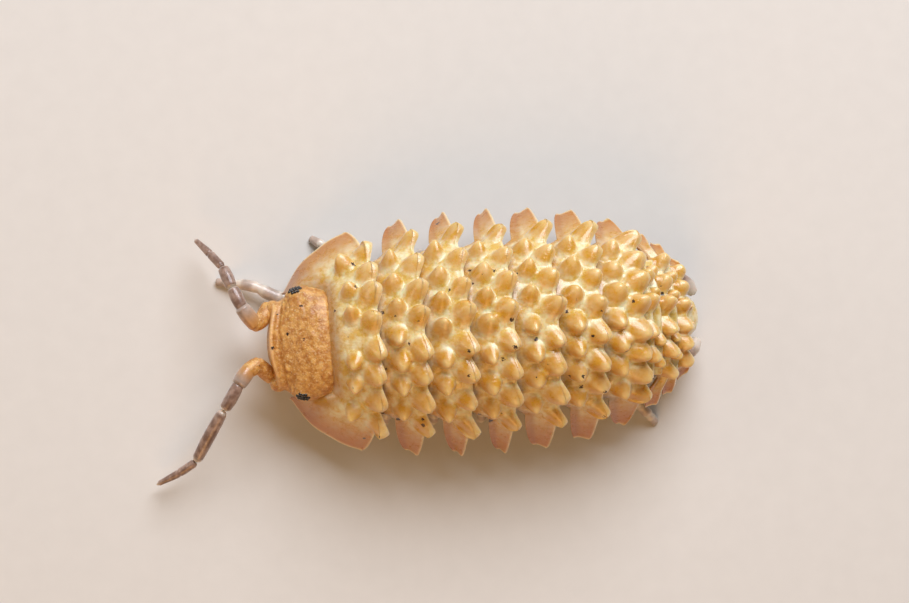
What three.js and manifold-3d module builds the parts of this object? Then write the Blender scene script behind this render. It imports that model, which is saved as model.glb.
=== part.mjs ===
// A small spiny roller woodlouse, life size, standing on its fourteen feet.
// Millimetres, +Z up. The head points to -X and the animal's left side to -Y.
// The origin is on the floor, under the middle of the whole outline.

import * as THREE from 'three';
import { mergeVertices } from 'three/addons/utils/BufferGeometryUtils.js';
import Module from 'manifold-3d';

const wasm = await Module();
wasm.setup();

// Edges shorter than this are closed up where two shapes are joined
const SHORTEST_EDGE = 0.004;

// Driving dimensions of the body
const FRONT_X = -5.05;
const HEAD_REAR_X = -3.9;
const SHIELD_REAR_X = -2.6;
const PEREON_PITCH = 1.02;
const PLEON_PITCH = 0.22;
const BELLY_Z = 1.1;
const RIM_TOP_Z = 0.86;
const RIM_BOTTOM_Z = 0.55;
const RIM_DROP = 0.36;
const BODY_DEPTH = 0.52;
const DOME_POWER = 2.2;
const NODE_GAP = 0.12;
const PLEON_GAP = 0.05;

// Half width and height of the back along the body: x, half width, top of the dome
const BACK = [
  [-4.7, 1.3, 1.95],
  [-4.37, 1.8, 2.14],
  [-3.75, 2.24, 2.42],
  [-3.15, 2.5, 2.62],
  [-2.6, 2.62, 2.74],
  [-1.6, 2.76, 2.92],
  [-0.5, 2.85, 3.02],
  [0.5, 2.84, 3.04],
  [1.5, 2.77, 2.98],
  [2.5, 2.62, 2.84],
  [3.2, 2.38, 2.64],
  [3.6, 2.15, 2.42],
  [4.0, 1.92, 2.12],
  [4.4, 1.62, 1.76],
  [4.7, 1.28, 1.46],
  [5.0, 0.86, 1.2],
  [5.4, 0.5, 1.0],
];

// Plates: steps across the back, how thick the lapping edge is and how far it stands proud
const ACROSS_STEPS = 20;
const EVEN_SHARE = 0.6;
const LAP_SHARE = 0.28;
const LAP_TAPER = 0.6;
const LAP_DEPTH = 0.34;
const DEPTH_TAPER = 0.55;
const SHORT_PLATE_DEPTH = 0.15;
const LEAST_PLATE = 0.1;
const LEAST_FLOOR = 0.04;
const TUCK_EASE = 0.02;
const BANDS = 3;
const EARLY_RISE = 1.2;
const EDGE_LIFT = 0.05;
const FRONT_SINK = 0.08;
const BELLY_SHARE = 0.5;
const UNDER_ARCH = 0.22;
const LOBE_START = 0.72;
const REAR_CORNER = 0.96;
const NOTCH_START = 0.69;
const NOTCH_SPAN = 0.08;

// Tubercles: radius and height, the places of the two rows across half of a plate and how far in from its rear
// edge they stand, and how much size and place wander
const TUBERCLE_RADIUS = 0.21;
const TUBERCLE_HEIGHT = 0.38;
const TUBERCLE_SINK = 0.12;
const TUBERCLE_SIDES = 5;
const TUBERCLE_TIP_SHARE = 0.3;
const OUTWARD_LEAN = 0.3;
const REAR_ROW = [0.12, 0.33, 0.54, 0.74];
const FRONT_ROW = [0, 0.22, 0.43, 0.63];
const SHIELD_FRONT_ROW = [0.2, 0.42, 0.66];
const REAR_ROW_IN = 0.16;
const FRONT_ROW_IN = 0.62;
const PLEON_ROW_IN = 0.1;
const SIZE_WANDER = 0.14;
const ACROSS_WANDER = 0.015;
const ALONG_WANDER = 0.03;

const AMBER = 0xc98f2c;
const CREAM = 0xd9bd84;
const BLACK = 0x120c08;
const PALE = 0xcbb9a2;

const group = new THREE.Group();

function mix(a, b, f) {
  return a + (b - a) * f;
}

function smooth(f) {
  const c = Math.min(1, Math.max(0, f));
  return c * c * (3 - 2 * c);
}

// A repeatable draw between -1 and 1
let seed = 11;
function draw() {
  seed = (seed * 16807) % 2147483647;
  return (seed / 2147483647) * 2 - 1;
}

function along(x, column) {
  let i = 0;
  while (i < BACK.length - 2 && BACK[i + 1][0] < x) i += 1;
  const [a, b] = [BACK[i], BACK[i + 1]];
  const f = (x - a[0]) / (b[0] - a[0]);
  return mix(a[column], b[column], f);
}

// A closed solid lofted through rings of equal count, with a fan over each end
function loft(rings) {
  const count = rings[0].length;
  const points = rings.flat();
  const index = [];
  for (let r = 0; r < rings.length - 1; r += 1) {
    for (let i = 0; i < count; i += 1) {
      const j = (i + 1) % count;
      const [a, b, c, d] = [r * count + i, r * count + j, (r + 1) * count + i, (r + 1) * count + j];
      index.push(a, c, b, b, c, d);
    }
  }
  for (const [ring, flip] of [[0, true], [rings.length - 1, false]]) {
    const centre = new THREE.Vector3();
    for (const p of rings[ring]) centre.add(p);
    points.push(centre.divideScalar(count));
    for (let i = 0; i < count; i += 1) {
      const [a, b] = [ring * count + i, ring * count + ((i + 1) % count)];
      if (flip) index.push(b, points.length - 1, a);
      else index.push(a, points.length - 1, b);
    }
  }
  const geometry = new THREE.BufferGeometry();
  geometry.setAttribute('position', new THREE.Float32BufferAttribute(points.flatMap((p) => [p.x, p.y, p.z]), 3));
  geometry.setIndex(index);
  return outward(geometry);
}

// Turns a closed mesh right side out when its signed volume is negative
function outward(geometry) {
  const p = geometry.attributes.position;
  const index = geometry.index.array;
  const [a, b, c] = [new THREE.Vector3(), new THREE.Vector3(), new THREE.Vector3()];
  let volume = 0;
  for (let i = 0; i < index.length; i += 3) {
    a.fromBufferAttribute(p, index[i]);
    b.fromBufferAttribute(p, index[i + 1]);
    c.fromBufferAttribute(p, index[i + 2]);
    volume += a.dot(b.cross(c));
  }
  if (volume < 0) {
    for (let i = 0; i < index.length; i += 3) {
      [index[i + 1], index[i + 2]] = [index[i + 2], index[i + 1]];
    }
  }
  return geometry;
}

// A three.js shape with only its positions left and its seams closed
function bare(geometry) {
  geometry.deleteAttribute('normal');
  geometry.deleteAttribute('uv');
  return mergeVertices(geometry, 1e-5);
}

function toManifold(geometry) {
  outward(geometry);
  return new wasm.Manifold(new wasm.Mesh({
    numProp: 3,
    vertProperties: new Float32Array(geometry.attributes.position.array),
    triVerts: new Uint32Array(geometry.index.array),
    tolerance: SHORTEST_EDGE,
  }));
}

// Joins pieces to a base, cuts others away, and keeps the largest closed surface
function fuse(base, pieces, cutters = []) {
  let solid = toManifold(base);
  for (const piece of pieces) solid = solid.add(toManifold(piece));
  for (const cutter of cutters) solid = solid.subtract(toManifold(cutter));
  const parts = solid.decompose();
  parts.sort((a, b) => b.volume() - a.volume());
  const mesh = parts[0].getMesh();
  const geometry = new THREE.BufferGeometry();
  geometry.setAttribute('position', new THREE.BufferAttribute(new Float32Array(mesh.vertProperties), 3));
  geometry.setIndex(new THREE.BufferAttribute(new Uint32Array(mesh.triVerts), 1));
  return geometry;
}

function add(name, geometry, colour, roughness = 0.35) {
  const material = new THREE.MeshStandardMaterial({ color: colour, roughness, metalness: 0 });
  const mesh = new THREE.Mesh(geometry, material);
  mesh.name = name;
  group.add(mesh);
}

// The back is one surface of revolution-like domes: x along the body, t from -1 to 1 across it
function backPoint(x, t, depth = 0) {
  const half = along(x, 1);
  const top = along(x, 2);
  const s = Math.abs(t);
  const drop = top - Math.min(RIM_TOP_Z, top - RIM_DROP);
  const slope = (drop * DOME_POWER * s ** (DOME_POWER - 1)) / half;
  const length = Math.hypot(slope, 1);
  const y = half * s - (depth * slope) / length;
  const z = top - drop * s ** DOME_POWER - depth / length;
  return new THREE.Vector3(x, Math.sign(t) * y, z);
}

function backNormal(x, t) {
  const step = 0.02;
  const alongX = backPoint(x + step, t).sub(backPoint(x - step, t));
  const across = backPoint(x, t + step).sub(backPoint(x, t - step));
  return alongX.cross(across).normalize();
}

// Underside: flat belly in the middle, then the arched inner face of the side lobe down to the rim
function bellyZ(x) {
  return Math.min(BELLY_Z, along(x, 2) - BODY_DEPTH);
}

function underZ(x, t) {
  const s = Math.max(0, (Math.abs(t) - BELLY_SHARE) / (1 - BELLY_SHARE));
  const arch = UNDER_ARCH * ((bellyZ(x) - RIM_BOTTOM_Z) / (BELLY_Z - RIM_BOTTOM_Z));
  return mix(bellyZ(x), RIM_BOTTOM_Z, s) + arch * Math.sin(Math.PI * s);
}

// One body ring: the plate over the back with its side lobes, and the belly under it
function plate(spec) {
  const pitch = spec.rear - spec.front;
  const lap = LAP_SHARE * Math.min(pitch, PEREON_PITCH);
  const depth = LAP_DEPTH * Math.min(1, pitch / PEREON_PITCH + SHORT_PLATE_DEPTH);
  const reach = spec.reach ?? 1;
  const rings = [];
  const steps = spec.steps ?? ACROSS_STEPS;
  for (let i = 0; i <= steps; i += 1) {
    const f = (2 * i) / steps - 1;
    const t = reach * Math.sign(f) * mix(Math.sin((Math.PI / 2) * Math.abs(f)), Math.abs(f), EVEN_SHARE);
    const s = Math.abs(t);
    const q = Math.max(0, (s - LOBE_START) / (1 - LOBE_START));
    const notched = spec.front + (spec.notch ?? 0) * smooth((s - NOTCH_START) / NOTCH_SPAN);
    const front = notched + (spec.gap ?? NODE_GAP) + spec.sweep(s) + spec.frontRound * (1 - Math.sqrt(1 - q * q));
    const rear = spec.rear + spec.trail(s) - spec.rearRound * (1 - Math.sqrt(1 - REAR_CORNER * q * q));
    const lapHere = lap * (1 - LAP_TAPER * q);
    const tuck = spec.flatFront ? 0 : lapHere;
    const deep = depth * (1 - DEPTH_TAPER * q);
    const under = (x) => {
      const p = backPoint(x, t);
      return new THREE.Vector3(x, p.y, underZ(x, t));
    };
    const innerFront = Math.min(front - tuck + TUCK_EASE, rear - LEAST_PLATE);
    const innerRear = Math.max(rear - lapHere, innerFront + LEAST_FLOOR);
    const ring = [];
    ring.push(under(innerFront));
    ring.push(backPoint(innerFront, t, deep + FRONT_SINK));
    ring.push(backPoint(front, t, FRONT_SINK));
    for (let k = 1; k < (spec.bands ?? BANDS); k += 1) {
      const v = k / BANDS;
      ring.push(backPoint(mix(front, rear, v), t, mix(FRONT_SINK, -EDGE_LIFT, smooth(v * EARLY_RISE))));
    }
    ring.push(backPoint(rear, t, -EDGE_LIFT));
    ring.push(backPoint(innerRear, t, deep - EDGE_LIFT));
    ring.push(under(innerRear));
    rings.push(ring);
  }
  return loft(rings);
}

// A blunt cone that leans back and outwards from the surface it grows on
function tubercle(x, t, radius, height, lean) {
  const root = backPoint(x, t);
  const normal = backNormal(x, t);
  const outwards = Math.sign(t) * OUTWARD_LEAN;
  const direction = normal.clone().add(new THREE.Vector3(lean, outwards, 0)).normalize();
  const tip = radius * TUBERCLE_TIP_SHARE;
  const cone = bare(new THREE.CylinderGeometry(tip, radius, height + TUBERCLE_SINK, TUBERCLE_SIDES, 1));
  cone.translate(0, (height + TUBERCLE_SINK) / 2 - TUBERCLE_SINK, 0);
  cone.applyQuaternion(new THREE.Quaternion().setFromUnitVectors(new THREE.Vector3(0, 1, 0), direction));
  cone.translate(root.x, root.y, root.z);
  return cone;
}

// A row of tubercles across a plate, one each side for every place, leaning back by the lean
function rowOf(places, x, size, lean) {
  const cones = [];
  for (const place of places) {
    for (const side of place === 0 ? [1] : [-1, 1]) {
      const scale = size * (1 + SIZE_WANDER * draw());
      const t = side * (place + ACROSS_WANDER * draw());
      const at = x + ALONG_WANDER * draw();
      cones.push(tubercle(at, t, TUBERCLE_RADIUS * scale, TUBERCLE_HEIGHT * scale, lean));
    }
  }
  return cones;
}

const level = () => 0;
const forwardTip = (s) => -0.25 * Math.max(0, s - 0.6);

// First pereonite: a shield whose front corners curve forward round the head as a crescent
const SHIELD_SWEEP = 0.78;
const SHIELD_SWEEP_START = 0.62;
const SHIELD_SWEEP_POWER = 1.7;
const SHIELD_REAR_SLANT = 0.2;
function crescent(s) {
  const u = Math.min(1, Math.max(0, (s - SHIELD_SWEEP_START) / (1 - SHIELD_SWEEP_START)));
  return -SHIELD_SWEEP * (1 - (1 - u) ** SHIELD_SWEEP_POWER);
}
const shield = {
  front: HEAD_REAR_X - 0.02,
  rear: SHIELD_REAR_X,
  sweep: crescent,
  trail: (s) => -SHIELD_REAR_SLANT * smooth((s - 0.5) / 0.5),
  frontRound: 0,
  rearRound: 0.3,
  flatFront: true,
};
add('pereonite_1', fuse(plate(shield), [
  ...rowOf(REAR_ROW, SHIELD_REAR_X - REAR_ROW_IN, 1, 0.7),
  ...rowOf(SHIELD_FRONT_ROW, SHIELD_REAR_X - FRONT_ROW_IN, 0.85, 0.3),
]), AMBER);

// Pereonites two to seven: the notch in front of each side lobe, and the rounding of its front and rear corner
const LOBES = [
  [0.22, 0.35, 0.1],
  [0.3, 0.4, 0.08],
  [0.34, 0.34, 0.08],
  [0.18, 0.35, 0.12],
  [0.24, 0.2, 0.12],
  [0.16, 0.35, 0.35],
];
const pereonRear = (n) => SHIELD_REAR_X + PEREON_PITCH * (n - 1);
for (let n = 2; n <= 7; n += 1) {
  const [notch, frontRound, rearRound] = LOBES[n - 2];
  const rear = pereonRear(n);
  const spec = { front: pereonRear(n - 1), rear, sweep: level, trail: forwardTip, notch, frontRound, rearRound };
  add(`pereonite_${n}`, fuse(plate(spec), [
    ...rowOf(REAR_ROW, rear - REAR_ROW_IN, 1, 0.8),
    ...rowOf(FRONT_ROW, rear - FRONT_ROW_IN, 0.85, 0.35),
  ]), AMBER);
}

// Pleonites: the first two are narrow rings without lobes, the next three have lobes swept back
// For each pleonite: how far the front and rear edges shift at the sides, and how far round the plate reaches
const PLEON_LARGE = 0.74;
const PLEON_SMALL = 0.5;
const PLEON_LOBES = [
  [0, 0, 0.66],
  [0, 0, 0.66],
  [-0.34, -0.16, 1],
  [-0.12, 0, 1],
  [0.04, 0.2, 1],
];
const pleonRear = (n) => pereonRear(7) + PLEON_PITCH * n;
const atSides = (s) => smooth((s - 0.7) / 0.2);
for (let n = 1; n <= 5; n += 1) {
  const rear = pleonRear(n);
  const narrow = n <= 2;
  const [sweepTo, trailTo, reach] = PLEON_LOBES[n - 1];
  const spec = {
    front: pleonRear(n - 1),
    rear,
    sweep: (s) => sweepTo * atSides(s),
    trail: (s) => trailTo * atSides(s),
    frontRound: 0.05,
    rearRound: narrow ? 0 : 0.1,
    reach,
    steps: 14,
    bands: 2,
    gap: PLEON_GAP,
  };
  // The rows are staggered from ring to ring, and every other row is the smaller one
  const small = n % 2 === 0;
  const places = (small ? [0.27, 0.52] : [0.14, 0.4, 0.66]).filter((place) => place < reach - 0.1);
  const row = rowOf(places, rear - PLEON_ROW_IN, small ? PLEON_SMALL : PLEON_LARGE, 0.9);
  add(`pleonite_${n}`, fuse(plate(spec), row), AMBER);
}

// A ring of the head or tail: a rounded section that stands across the body
const RING_SIDES = 18;
const RING_SQUARE = 0.8;
function crossRing(x, half, top, bottom) {
  const ring = [];
  for (let i = 0; i < RING_SIDES; i += 1) {
    const a = (i / RING_SIDES) * Math.PI * 2;
    const [c, s] = [Math.cos(a), Math.sin(a)];
    const y = half * Math.sign(c) * Math.abs(c) ** RING_SQUARE;
    const z = (top + bottom) / 2 + ((top - bottom) / 2) * Math.sign(s) * Math.abs(s) ** RING_SQUARE;
    ring.push(new THREE.Vector3(x, y, z));
  }
  return ring;
}

function ball(x, y, z, rx, ry, rz, wide = 10, high = 7) {
  const geometry = bare(new THREE.SphereGeometry(1, wide, high));
  geometry.scale(rx, ry, rz);
  geometry.translate(x, y, z);
  return geometry;
}

// Head: a blunt capsule with a bowed, raised front rim, an antennal lobe each side and shallow eye seats
const HEAD_TOP_Z = 2.12;
const HEAD_HALF_WIDTH = 1.3;
const HEAD_BOW = 0.46;
const HEAD_BOW_REAR_X = -4.5;
const EYE_X = -4.42;
const EYE_Y = 1.26;
const EYE_Z = 1.72;
const EYE_SIZE = [0.19, 0.12, 0.14];
const EYE_CLEARANCE = 0.1;
const LOBE_AT = [-4.88, 0.84, 1.2];
const LOBE_SIZE = [0.26, 0.24, 0.26];
const headRings = [
  crossRing(FRONT_X, 0.62, 1.72, 1.05),
  crossRing(FRONT_X + 0.08, 0.9, 1.8, 0.88),
  crossRing(FRONT_X + 0.2, 1.06, 1.72, 0.76),
  crossRing(FRONT_X + 0.42, 1.22, 1.84, 0.68),
  crossRing(FRONT_X + 0.66, HEAD_HALF_WIDTH, 2.0, 0.66),
  crossRing(FRONT_X + 0.92, HEAD_HALF_WIDTH, HEAD_TOP_Z - 0.02, 0.7),
  crossRing(HEAD_REAR_X - 0.02, 1.24, HEAD_TOP_Z, 0.78),
];
// The front is bowed: its sides lie further back, by the square of the distance from the middle line
for (const p of headRings.flat()) {
  const share = Math.max(0, (HEAD_BOW_REAR_X - p.x) / (HEAD_BOW_REAR_X - FRONT_X));
  p.x += HEAD_BOW * (p.y / HEAD_HALF_WIDTH) ** 2 * share;
}
const headExtras = [];
const eyeSeats = [];
const seatSize = EYE_SIZE.map((value) => value + EYE_CLEARANCE);
for (const side of [-1, 1]) {
  headExtras.push(ball(LOBE_AT[0], side * LOBE_AT[1], LOBE_AT[2], ...LOBE_SIZE, 8, 6));
  eyeSeats.push(ball(EYE_X, side * EYE_Y, EYE_Z, ...seatSize));
}
add('cephalon', fuse(loft(headRings), headExtras, eyeSeats), CREAM, 0.45);
for (const [side, label] of [[-1, 'left'], [1, 'right']]) {
  add(`eye_${label}`, ball(EYE_X, side * EYE_Y, EYE_Z, ...EYE_SIZE), BLACK, 0.15);
}

// Mouthparts: a pair of flat maxillipeds side by side under the head
const JAW_AT = [-4.62, 0.25, 0.46];
const JAW_SIZE = [0.34, 0.2, 0.09];
for (const [side, label] of [[-1, 'left'], [1, 'right']]) {
  add(`maxilliped_${label}`, ball(JAW_AT[0], side * JAW_AT[1], JAW_AT[2], ...JAW_SIZE, 8, 6), CREAM, 0.45);
}

// A jointed limb: rings carried along a curve through its bends, flat at both ends
const CURVE_TENSION = 0.35;
function limb(points, radii, sides, steps) {
  const bends = points.map((p) => new THREE.Vector3(...p));
  const curve = new THREE.CatmullRomCurve3(bends, false, 'catmullrom', CURVE_TENSION);
  const frames = curve.computeFrenetFrames(steps, false);
  const rings = [];
  for (let i = 0; i <= steps; i += 1) {
    const f = i / steps;
    const at = f * (radii.length - 1);
    const low = Math.min(radii.length - 2, Math.floor(at));
    const radius = mix(radii[low], radii[low + 1], at - low);
    const centre = curve.getPointAt(f);
    const ring = [];
    for (let k = 0; k < sides; k += 1) {
      const a = (k / sides) * Math.PI * 2;
      const p = centre.clone();
      p.addScaledVector(frames.normals[i], radius * Math.cos(a));
      p.addScaledVector(frames.binormals[i], radius * Math.sin(a));
      ring.push(p);
    }
    rings.push(ring);
  }
  return rings;
}

// A short limb article: a straight barrel, widest at its middle
const BARREL_NECK = 0.86;
function barrel(from, to, radius) {
  const middle = from.map((value, i) => (value + to[i]) / 2);
  return loft(limb([from, middle, to], [radius * BARREL_NECK, radius, radius * BARREL_NECK], 8, 3));
}

// Antennae: three short articles bent at the elbow, two long articles and a whip, as each is held
const ANTENNA = {
  left: {
    elbow: [[-5.2, -0.74, 1.2], [-5.42, -0.45, 1.42], [-5.63, -0.56, 1.54], [-5.8, -0.8, 1.58]],
    article_4: [[-5.87, -0.91, 1.57], [-6.03, -1.13, 1.52], [-6.18, -1.34, 1.45]],
    article_5: [[-6.25, -1.45, 1.4], [-6.6, -1.99, 1.12], [-6.9, -2.47, 0.84]],
    flagellum: [[-7.01, -2.57, 0.79], [-7.38, -2.76, 0.6], [-7.85, -2.96, 0.42]],
  },
  right: {
    elbow: [[-5.24, 0.88, 1.2], [-5.42, 0.62, 1.38], [-5.54, 0.62, 1.52], [-5.65, 0.9, 1.6]],
    article_4: [[-5.69, 1.02, 1.58], [-5.74, 1.17, 1.56], [-5.8, 1.36, 1.51]],
    article_5: [[-5.84, 1.48, 1.46], [-5.91, 1.68, 1.38], [-5.98, 1.88, 1.28]],
    flagellum: [[-6.06, 1.98, 1.22], [-6.28, 2.28, 1.0], [-6.56, 2.64, 0.7]],
  },
};
const FEELER_RADIUS = 0.25;
for (const [label, articles] of Object.entries(ANTENNA)) {
  const bends = articles.elbow;
  const barrels = [0, 1, 2].map((i) => barrel(bends[i], bends[i + 1], FEELER_RADIUS));
  const knuckles = [bends[1], bends[2]].map((at) => ball(...at, FEELER_RADIUS, FEELER_RADIUS, FEELER_RADIUS, 8, 6));
  add(`antenna_base_${label}`, fuse(barrels[0], [...barrels.slice(1), ...knuckles]), AMBER, 0.3);
  for (const article of ['article_4', 'article_5']) {
    add(`antenna_${article}_${label}`, loft(limb(articles[article], [0.24, 0.26, 0.25], 8, 4)), PALE, 0.3);
  }
  add(`flagellum_${label}`, loft(limb(articles.flagellum, [0.22, 0.19, 0.06], 8, 5)), PALE, 0.3);
}

// Legs: out from the belly, down at the knee and onto a small flat foot
const LEG_ROOT_Y = 0.98;
const LEG_ROOT_AHEAD = 0.62;
const FIRST_LEG_X = -3.25;
const LEG_RADII = [0.25, 0.25, 0.22, 0.17, 0.13];
const LEG_REACH = [-0.3, -0.22, -0.1, 0.02, 0.14, 0.26, 0.4];
// A standing leg from the knee to the foot: share of its reach, y where the body is widest, z
const STANDING = [
  [0.2, 1.18, 0.72],
  [0.6, 1.62, 0.6],
  [0.9, 1.95, 0.34],
  [1, 2.02, 0],
];
// The three legs that the photo shows stepping out past the plates, from the knee to the foot
const STEPPING = {
  right_1: [[-3.7, 1.16, 0.4], [-4.6, 1.14, 0.34], [-5.3, 1.48, 0.32], [-6.1, 1.66, 0]],
  right_2: [[-2.5, 1.35, 0.6], [-3.0, 1.85, 0.42], [-3.5, 2.28, 0.24], [-3.82, 2.51, 0]],
  left_7: [[3.1, -1.2, 0.6], [3.45, -1.75, 0.42], [3.8, -2.2, 0.26], [3.98, -2.41, 0]],
};
function leg(path) {
  const rings = limb(path, LEG_RADII, 7, 9);
  for (const p of rings[rings.length - 1]) p.z = 0;
  for (const ring of rings) for (const p of ring) p.z = Math.max(0, p.z);
  return loft(rings);
}
for (let n = 1; n <= 7; n += 1) {
  const rootX = n === 1 ? FIRST_LEG_X : pereonRear(n) - PEREON_PITCH * LEG_ROOT_AHEAD;
  const reach = LEG_REACH[n - 1];
  const width = along(rootX, 1) / along(0, 1);
  for (const [side, label] of [[-1, 'left'], [1, 'right']]) {
    const root = [rootX, side * LEG_ROOT_Y * width, BELLY_Z - NODE_GAP];
    const standing = STANDING.map(([share, y, z]) => [rootX + reach * share, side * y * width, z]);
    add(`leg_${label}_${n}`, leg([root, ...(STEPPING[`${label}_${n}`] ?? standing)]), PALE, 0.4);
  }
}

// Telson: a small blunt wedge with two tubercles, and a uropod each side of it
const TELSON_X = pleonRear(5) + PLEON_GAP;
const telsonRings = [
  crossRing(TELSON_X, 0.5, 1.42, 0.86),
  crossRing(TELSON_X + 0.16, 0.46, 1.28, 0.74),
  crossRing(TELSON_X + 0.36, 0.26, 1.06, 0.68),
];
const telsonTubercles = [-0.3, 0.3].map((t) => tubercle(TELSON_X + 0.12, t, 0.12, 0.22, 0.9));
add('telson', fuse(loft(telsonRings), telsonTubercles), AMBER);
for (const [side, label] of [[-1, 'left'], [1, 'right']]) {
  const path = [
    [TELSON_X + 0.06, side * 0.86, 0.86],
    [TELSON_X + 0.2, side * 0.74, 0.8],
    [TELSON_X + 0.38, side * 0.54, 0.72],
  ];
  add(`uropod_${label}`, loft(limb(path, [0.2, 0.19, 0.12], 8, 4)), PALE, 0.3);
}

// Pleopods: five pairs of lapping flaps under the pleon, joined where they lap
const FLAP_SIZE = [0.26, 0.48, 0.08];
const FLAP_TILT = 0.12;
const FLAP_PITCH = 0.2;
const FLAP_Y = 0.4;
const FLAP_NARROWING = 0.08;
const FLAP_DROP = 0.26;
const flaps = [];
for (let n = 0; n < 5; n += 1) {
  for (const side of [-1, 1]) {
    const flap = bare(new THREE.SphereGeometry(1, 8, 6));
    flap.scale(...FLAP_SIZE);
    flap.rotateY(FLAP_TILT);
    const x = pereonRear(7) + 0.05 + FLAP_PITCH * n;
    flap.translate(x, side * FLAP_Y * (1 - FLAP_NARROWING * n), bellyZ(x) - FLAP_DROP);
    flaps.push(flap);
  }
}
add('pleopods', fuse(flaps[0], flaps.slice(1)), PALE, 0.4);

// The whole outline is set on the floor with its middle over the origin
group.updateMatrixWorld(true);
const box = new THREE.Box3().setFromObject(group);
group.position.set(-(box.min.x + box.max.x) / 2, -(box.min.y + box.max.y) / 2, -box.min.z);
group.updateMatrixWorld(true);

export default group;
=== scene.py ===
import math

import bpy
import numpy as np
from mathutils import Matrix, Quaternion, Vector


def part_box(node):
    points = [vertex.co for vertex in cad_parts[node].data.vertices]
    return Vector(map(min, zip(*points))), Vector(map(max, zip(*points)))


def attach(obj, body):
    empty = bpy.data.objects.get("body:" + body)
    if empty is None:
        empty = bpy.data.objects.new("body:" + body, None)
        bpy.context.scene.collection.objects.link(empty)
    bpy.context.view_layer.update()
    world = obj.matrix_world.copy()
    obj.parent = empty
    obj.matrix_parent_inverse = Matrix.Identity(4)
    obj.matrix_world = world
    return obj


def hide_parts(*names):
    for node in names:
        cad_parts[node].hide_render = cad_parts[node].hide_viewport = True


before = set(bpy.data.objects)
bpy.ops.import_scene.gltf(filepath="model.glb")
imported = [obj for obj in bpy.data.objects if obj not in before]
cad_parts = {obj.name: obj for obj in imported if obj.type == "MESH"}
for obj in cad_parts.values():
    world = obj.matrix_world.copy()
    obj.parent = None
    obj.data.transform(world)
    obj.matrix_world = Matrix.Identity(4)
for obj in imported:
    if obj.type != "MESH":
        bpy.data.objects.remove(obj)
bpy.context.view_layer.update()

# Floor, light and camera. The animal stands on a plain pale floor under two large soft lamps and a small one
# at its head. The camera looks down from a little to the near side and a little ahead, as a macro lens would.
MM = 0.001
EYE_CENTRE_X = -4.42
EYE_CENTRE_Z = 1.72
left_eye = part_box("eye_left")
right_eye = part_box("eye_right")
eye_middle = (left_eye[0] + left_eye[1] + right_eye[0] + right_eye[1]) / 4
# The animal's own measures start at its middle, and this carries them to the floor frame
SHIFT = np.array([eye_middle.x / MM - EYE_CENTRE_X, eye_middle.y / MM, eye_middle.z / MM - EYE_CENTRE_Z])

PHOTO_WIDTH = 909
PHOTO_HEIGHT = 603
TILT_NEAR = 3.0
TILT_HEAD = 6.0
ROLL = 4.5
MM_PER_PIXEL = 0.0232
CENTRE_PIXEL = (487, 330)
CENTRE_HEIGHT = 1.5
LENS = 150.0
SENSOR = 36.0
FLOOR_HALF = 0.6


def linear(hex_colour):
    """sRGB hex to linear: each channel c/12.92 when dark, else ((c + 0.055) / 1.055) to the power 2.4."""
    channels = [int(hex_colour[i:i + 2], 16) / 255 for i in (1, 3, 5)]
    return [c / 12.92 if c <= 0.04045 else ((c + 0.055) / 1.055) ** 2.4 for c in channels] + [1.0]


def node(tree, kind, settings=None, **inputs):
    """Adds a shader node, sets its properties, and fills or links its inputs: by name with underscores for
    spaces, or by place as i0, i1 and on. A hex colour is turned to linear."""
    made = tree.nodes.new(kind)
    for key, value in (settings or {}).items():
        setattr(made, key, value)
    for key, value in inputs.items():
        by_place = key[0] == "i" and key[1:].isdigit()
        socket = made.inputs[int(key[1:]) if by_place else key.replace("_", " ")]
        if isinstance(value, bpy.types.NodeSocket):
            tree.links.new(value, socket)
        else:
            socket.default_value = linear(value) if isinstance(value, str) else value
    return made


def bare_material(name):
    """A material whose tree holds nothing yet; returns the material and the tree."""
    material = bpy.data.materials.new(name)
    material.use_nodes = True
    material.node_tree.nodes.clear()
    return material, material.node_tree


def finish_material(tree, shader):
    """Joins the shader to the surface of its material."""
    output = tree.nodes.new("ShaderNodeOutputMaterial")
    tree.links.new(shader.outputs[0], output.inputs["Surface"])


floor_material, tree = bare_material("matte_pale_card")
grain = node(tree, "ShaderNodeTexNoise", Scale=2200.0, Detail=3.0,
             Vector=node(tree, "ShaderNodeTexCoord").outputs["Object"])
tone = node(tree, "ShaderNodeMix", {"data_type": "RGBA"}, Factor=grain.outputs["Fac"], A="#d8d5cf",
            B="#dedbd5")
card = node(tree, "ShaderNodeBsdfPrincipled", Base_Color=tone.outputs["Result"], Roughness=0.85)
finish_material(tree, card)

floor_mesh = bpy.data.meshes.new("floor")
corners = [(-FLOOR_HALF, -FLOOR_HALF, 0), (FLOOR_HALF, -FLOOR_HALF, 0),
           (FLOOR_HALF, FLOOR_HALF, 0), (-FLOOR_HALF, FLOOR_HALF, 0)]
floor_mesh.from_pydata(corners, [], [(0, 1, 2, 3)])
floor = bpy.data.objects.new("floor", floor_mesh)
floor.data.materials.append(floor_material)
bpy.context.scene.collection.objects.link(floor)

near, ahead = math.radians(TILT_NEAR), math.radians(TILT_HEAD)
back = Vector((-math.tan(ahead), -math.tan(near), 1.0)).normalized()
focus = (Vector((0.0, 0.0, CENTRE_HEIGHT)) + Vector(SHIFT)) * MM
facing = (-back).to_track_quat("-Z", "Y")
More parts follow.
